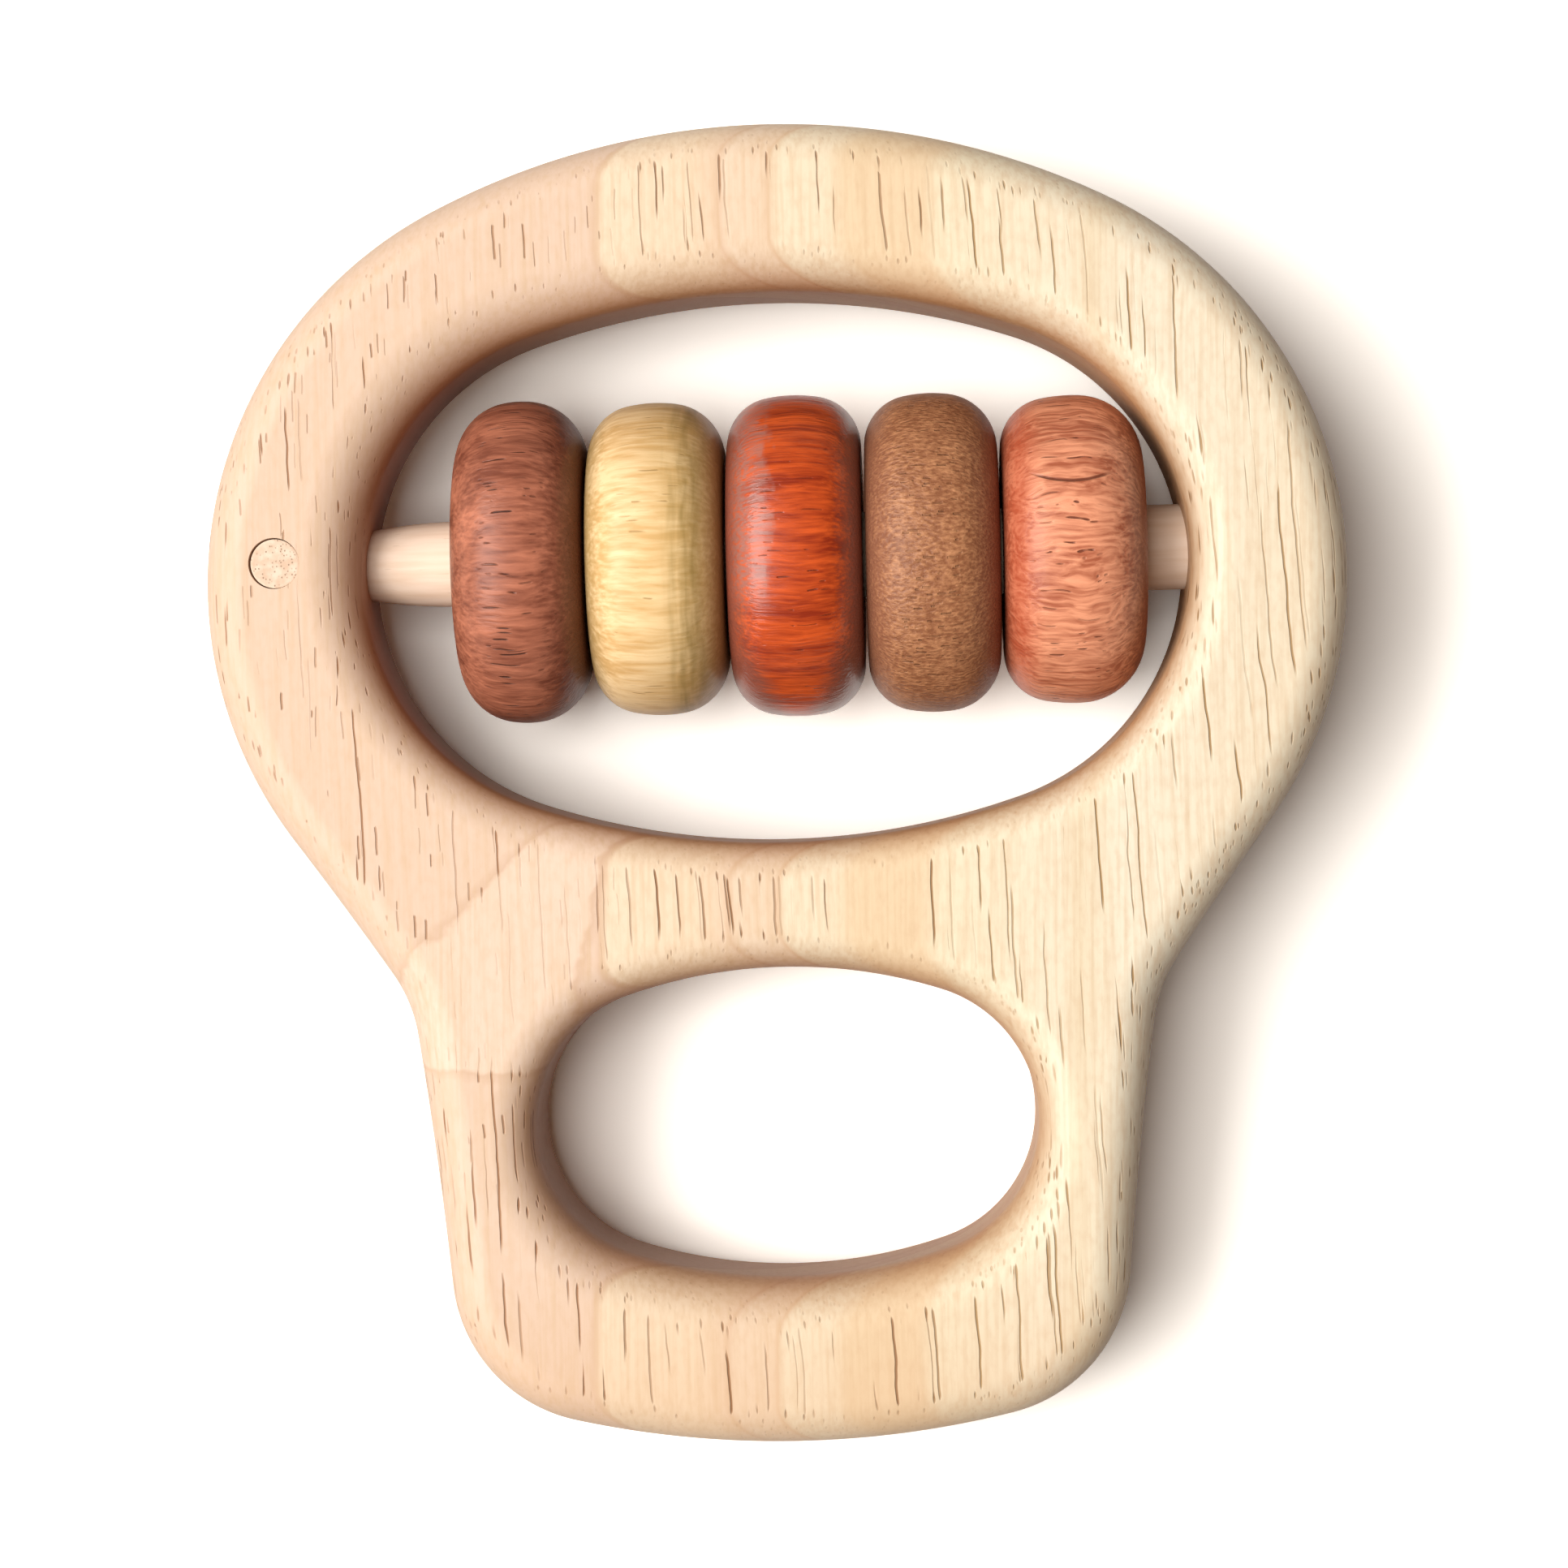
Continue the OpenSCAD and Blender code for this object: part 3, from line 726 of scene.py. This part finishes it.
def tinted_rims(tree, tone, place, streaks, tint, start, end, middle=0.0):
    """A tint towards both rims, where the rounding cuts across the grain and takes up more polish, ragged
    by the streaks. Start and end are distances along the dowel from the middle, and the middle from the
    bead's own, in millimetres. A middle moved off the bead's own paints shade, darker on one rim than
    the other."""
    raggedness = 2.4
    offset = add_node(tree, "SeparateXYZ", {0: place}, "X")
    outward = add_node(tree, "Math", {0: offset, 1: middle}, operation="SUBTRACT")
    outward = add_node(tree, "Math", {0: outward}, operation="ABSOLUTE")
    ragged = add_node(tree, "Math", {0: streaks, 1: raggedness, 2: outward}, operation="MULTIPLY_ADD")
    return stained(tree, tone, paint(tint), ragged, start + raggedness / 2, end + raggedness / 2, 0.9)


def polish_bead(tree, tone, streaks, pores, pore_tint, relief, **surface):
    """Ends a bead's wood: its vessels darker and sunk, its streaks felt a little, under the polish."""
    tone = stained(tree, tone, paint(pore_tint), pores, most=0.9)
    felt = add_node(tree, "Math", {0: streaks, 1: -0.8}, operation="MULTIPLY")
    height = add_node(tree, "Math", {0: felt, 1: pores}, operation="SUBTRACT")
    finish_material(tree, tone, height, relief, **surface)


def polished_mahogany():
    """Mahogany, turned and rubbed with wax: red-brown, with fine dark checks along the grain and a satin
    sheen. Painted shade leaves it lighter left of the middle and darker on the right."""
    material, tree, place, grain, tone, streaks = turned_grain(
        "polished_mahogany", "bead_1", "bb7357", "7a4230", (-0.3, 0.28), 0.9, (3.5, 0.4, 0.5))
    # Painted shade: the rim tint is centred 1.4 mm left of the bead's middle, so it darkens the right rim
    # more than the left.
    tone = tinted_rims(tree, tone, place, streaks, "6c3625", 4.0, 6.6, -1.4)
    checks = vessels(tree, grain, (6.0, 0.7, 0.45), 0.11, 0.2)
    polish_bead(tree, tone, streaks, checks, "35160d", 0.12, Roughness=0.38, IOR=1.5)
    return material


def polished_jackfruit_wood():
    """Jackfruit wood, turned and waxed: smooth and creamy, with olive growth rings that cross the dowel
    on the right of the bead, painted shade that darkens it towards its right side, and fine dashes where
    vessels are cut."""
    material, tree, place, grain, tone, streaks = turned_grain(
        "polished_jackfruit_wood", "bead_2", "efcd9a", "d2a76c", (-0.2, 0.22), 0.9, (4.0, 0.45, 0.4))
    ringed = stirred(tree, place, (0.2, 0.2, 0.2), (0.7, 0, 0))
    rings = streaked(tree, ringed, (1.1, 0.15, 0.15), 2.0)
    rings = add_node(tree, "Math", {0: streaks, 1: 0.25, 2: rings}, operation="MULTIPLY_ADD")
    offset = add_node(tree, "SeparateXYZ", {0: ringed}, "X")
    on_right = add_node(tree, "MapRange", {0: offset, 1: 0.8, 2: 2.4})
    on_right = faded(tree, on_right, offset, 5.2, 3.8)
    olive = faded(tree, on_right, rings, 0.45, 0.8)
    # Painted shade: a darker olive tone that grows towards the bead's right side, away from the window
    # light.
    tone = stained(tree, tone, paint("bd9c5e"), offset, -2.0, 5.0, 0.6)
    tone = stained(tree, tone, paint("94783f"), olive, most=0.75)
    tone = tinted_rims(tree, tone, place, streaks, "b08f58", 4.4, 6.2)
    dashes = vessels(tree, grain, (4.5, 0.8, 0.6), 0.1, 0.2, 0.7)
    polish_bead(tree, tone, streaks, dashes, "a07a42", 0.05, Roughness=0.38, IOR=1.5)
    return material


def lacquered_padauk():
    """Padauk under a thin brushed lacquer: red-orange with fine dark streaks, brown on both rims where
    sapwood shows, drawn in to a point at the lower edge, a pale mauve patch at the upper left that is a
    painted reflection, and one bright soft reflection that breaks up on the brush marks."""
    material, tree, _, grain, tone, streaks = turned_grain(
        "lacquered_padauk", "bead_3", "d2541e", "8c290d", (-0.24, 0.26), 0.9, (4.0, 0.3, 0.4))
    sideways = add_node(tree, "SeparateXYZ", {0: grain}, "X")
    upward = sideways.node.outputs["Y"]
    narrowing = add_node(tree, "MapRange", {0: upward, 1: -8.5, 2: -14.5, 4: 3.2})
    outward = add_node(tree, "Math", {0: sideways}, operation="ABSOLUTE")
    outward = add_node(tree, "Math", {0: outward, 1: narrowing}, operation="ADD")
    ragged = add_node(tree, "Math", {0: streaks, 1: 2.5, 2: outward}, operation="MULTIPLY_ADD")
    tone = stained(tree, tone, paint("84493a"), ragged, 5.0, 6.8, 0.85)
    # Painted reflection: a pale mauve patch at the upper left, under the window's own reflection, which
    # paints the whitish sheen seen there.
    painted_sheen_patch = streaked(tree, grain, (0.9, 0.5, 0.5), 3.0)
    painted_sheen_patch = add_node(tree, "Math", {0: painted_sheen_patch, 1: 3.5, 2: sideways}, operation="MULTIPLY_ADD")
    painted_sheen_patch = add_node(tree, "MapRange", {0: painted_sheen_patch, 1: -0.1, 2: -0.9})
    painted_sheen_patch = faded(tree, painted_sheen_patch, upward, -6.0, -2.5)
    painted_sheen_patch = faded(tree, painted_sheen_patch, sideways, -6.0, -4.6)
    painted_sheen_patch = faded(tree, painted_sheen_patch, streaks, 0.32, 0.55)
    tone = stained(tree, tone, paint("a5786c"), painted_sheen_patch, most=0.55)
    dashes = vessels(tree, grain, (3.0, 0.6, 0.6), 0.09, 0.1, 0.8)
    polish_bead(tree, tone, streaks, dashes, "5e1a0a", 0.11, Roughness=0.4, IOR=1.5,
                Coat_Weight=0.65, Coat_Roughness=0.1)
    return material


def polished_walnut():
    """Walnut, turned and left a little rough: golden brown in the middle with a close fuzzy speckle of
    raised fibres and pits, and smoother mauve-brown rims."""
    material, tree, place, grain, tone, streaks = turned_grain(
        "polished_walnut", "bead_4", "c58a60", "8a5638", (-0.3, 0.12), 0.3, (0.6, 0.28, 0.3))
    tone = tinted_rims(tree, tone, place, streaks, "86543e", 3.4, 6.0)
    pits = vessels(tree, grain, (1.2, 0.5, 0.4), 0.12, 0.1, 0.5)
    polish_bead(tree, tone, streaks, pits, "5f3a24", 0.2, Roughness=0.4, IOR=1.5)
    return material


def polished_red_cherry():
    """Red cherry, turned and waxed: salmon with raised ribbons and thin red-brown lines along the grain,
    redder at the left rim, with painted shade that makes it browner at the right, and one fine curved
    check on its upper side."""
    material, tree, place, grain, tone, streaks = turned_grain(
        "polished_red_cherry", "bead_5", "e79a75", "a65a3e", (-0.17, 0.19), 0.7, (4.5, 0.42, 0.9))
    tone = stained(tree, tone, paint("b0492b"), beyond(tree, grain, (-1, 0, 0), 3.0), 0.0, 2.0, 0.6)
    # Painted shade: the rim tint is centred 0.8 mm left of the bead's middle, so it makes the right rim
    # browner than the left.
    tone = tinted_rims(tree, tone, place, streaks, "8f4a33", 4.9, 7.0, -0.8)
    check_radius = 9.0
    check_centre = (-0.3, 5.7 + check_radius, 0)
    flat = add_node(tree, "VectorMath", {0: place, 1: (1, 1, 0)}, operation="MULTIPLY")
    away = add_node(tree, "VectorMath", {0: flat, 1: check_centre}, "Value", operation="DISTANCE")
    away = add_node(tree, "Math", {0: away, 1: check_radius}, operation="SUBTRACT")
    away = add_node(tree, "Math", {0: away}, operation="ABSOLUTE")
    check = add_node(tree, "MapRange", {0: away, 1: 0.17, 2: 0.05})
    check = faded(tree, check, beyond(tree, place, (0, -1, 0), -6.5), 0.0, 0.4)
    check = faded(tree, check, beyond(tree, place, (0, 0, 1), 4.0), 0.0, 1.0)
    lines = vessels(tree, grain, (5.0, 0.8, 0.5), 0.11, 0.15)
    marks = add_node(tree, "Math", {0: check, 1: lines}, operation="MAXIMUM")
    polish_bead(tree, tone, streaks, marks, "6d3322", 0.14, Roughness=0.38, IOR=1.5)
    return material


# Each bead's tint, bow, left and right edge radius in millimetres, depth and place of its wave, and wood.
beads = [("brown", 9, 5.4, 5.6, 0.004, 0.4, polished_mahogany),
         ("olive", 13, 4.6, 5.2, 0.003, 1.9, polished_jackfruit_wood),
         ("orange", 14, 4.5, 4.7, 0.003, 3.1, lacquered_padauk),
         ("walnut", 13, 4.6, 5.2, 0.003, 5.2, polished_walnut),
         ("salmon", 15, 4.6, 6.1, 0.004, 2.6, polished_red_cherry)]
for number, (tint, bow, left_edge, right_edge, wobble, phase, wood) in enumerate(beads, start=1):
    node = f"bead_{number}"
    places, faces = bead_surface(node, bow * MM, left_edge * MM, right_edge * MM, wobble, phase)
    make_piece(f"{tint}_bead", places, faces, wood(), f"{node}_body", node)

# Floor: a sheet of white paper. The beads stand out past the board, so the rattle lies on them and on the
# rounded edge of its foot, and the paper is tilted to the board by a few degrees: a plane that touches both.
bead_low, bead_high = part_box("bead_1")
bead_radius = (bead_high.z - bead_low.z) / 2
foot_round = np.array([foot_end + edge_radius, edge_radius - half_thickness])
way = np.array([axle_y, 0]) - foot_round
tilt = math.asin((edge_radius - bead_radius) / np.linalg.norm(way)) + math.atan2(way[1], way[0])
floor_down = np.array([math.sin(tilt), -math.cos(tilt)])
floor_level = floor_down @ foot_round + edge_radius
floor_half = 0.9
floor_run = np.array([math.cos(tilt), math.sin(tilt)])
corners = np.array([[-1, -1], [1, -1], [1, 1], [-1, 1]]) * floor_half
floor_yz = floor_level * floor_down + corners[:, 1:] * floor_run
floor_mesh = bpy.data.meshes.new("paper")
floor_mesh.from_pydata(np.concatenate([corners[:, :1], floor_yz], axis=1), [], [[0, 1, 2, 3]])
floor = bpy.data.objects.new("paper", floor_mesh)
bpy.context.scene.collection.objects.link(floor)


def white_paper():
    """Matt white paper. Seen straight or in a reflection it is brighter than it lights its surroundings,
    so that it reads as white, and it keeps the shadow that falls on it."""
    material, tree = start_material("white_paper")[:2]
    to_camera = add_node(tree, "LightPath", {}, "Is Camera Ray")
    rays = to_camera.node.outputs
    seen = add_node(tree, "Math", {0: to_camera, 1: rays["Is Glossy Ray"]}, operation="MAXIMUM")
    seen = add_node(tree, "Math", {0: seen, 1: rays["Is Transmission Ray"]}, operation="MAXIMUM")
    sheet = stained(tree, paint("6e5a4c"), paint("f8f3ec"), seen)
    lift = stained(tree, paint("000000"), paint("bcb6ad"), to_camera)
    sheet = add_node(tree, "BsdfDiffuse", {"Color": sheet})
    lift = add_node(tree, "BsdfDiffuse", {"Color": lift})
    both = add_node(tree, "AddShader", {0: sheet, 1: lift})
    add_node(tree, "OutputMaterial", {"Surface": both})
    return material


floor_mesh.materials.append(white_paper())

# Light: one tall window on the left, which shows in the polish, and a panel high above it, which doesn't.
# Each has its way from the rattle, its size in metres and its power in watts. The room all round is warm and
# dim, and white only to the eye.
lamps = [("window_light", (-0.643, 0.05, 0.766), (1.3, 0.6), 9.6, True),
         ("upper_light", (-0.32, 0.0, 0.947), (0.4, 0.65), 6.9, False)]
lamp_distance = 0.9
for name, way, size, energy, in_gloss in lamps:
    light = bpy.data.lights.new(name, "AREA")
    light.shape = "RECTANGLE"
    light.size, light.size_y = size
    light.energy = energy
    lamp = bpy.data.objects.new(name, light)
    lamp.location = lamp_distance * Vector(way).normalized()
    lamp.rotation_mode = "QUATERNION"
    lamp.rotation_quaternion = Vector(way).to_track_quat("Z", "Y")
    lamp.visible_glossy = in_gloss
    bpy.context.scene.collection.objects.link(lamp)

room = bpy.data.worlds.new("white_room")
room.use_nodes = True
tree = room.node_tree
tree.nodes.clear()
to_camera = add_node(tree, "LightPath", {}, "Is Camera Ray")
through = to_camera.node.outputs["Is Transmission Ray"]
seen = add_node(tree, "Math", {0: to_camera, 1: through}, operation="MAXIMUM")
level = stained(tree, paint("54473e"), paint("ffffff"), seen)
sky = add_node(tree, "Background", {"Color": level})
add_node(tree, "OutputWorld", {"Surface": sky})
bpy.context.scene.world = room

# Camera: straight above the board, a little to its right and turned by about a degree.
camera_place = np.array([12.8, 3.6, 400]) * MM
camera_target = np.array([0.2, -0.1, 0]) * MM
camera_roll = math.radians(-1.3)
forward = (camera_target - camera_place) / np.linalg.norm(camera_target - camera_place)
right = np.cross(forward, [-math.sin(camera_roll), math.cos(camera_roll), 0])
right /= np.linalg.norm(right)
camera = bpy.data.cameras.new("camera")
camera.sensor_width = 36
camera.lens = 97.7
camera.clip_start = 0.01
eye = bpy.data.objects.new("camera", camera)
turn = Matrix(np.stack([right, np.cross(right, forward), -forward], axis=1)).to_quaternion()
eye.matrix_world = Matrix.LocRotScale(camera_place, turn, None)
bpy.context.scene.collection.objects.link(eye)
bpy.context.scene.camera = eye
bpy.context.scene.view_settings.view_transform = "Standard"
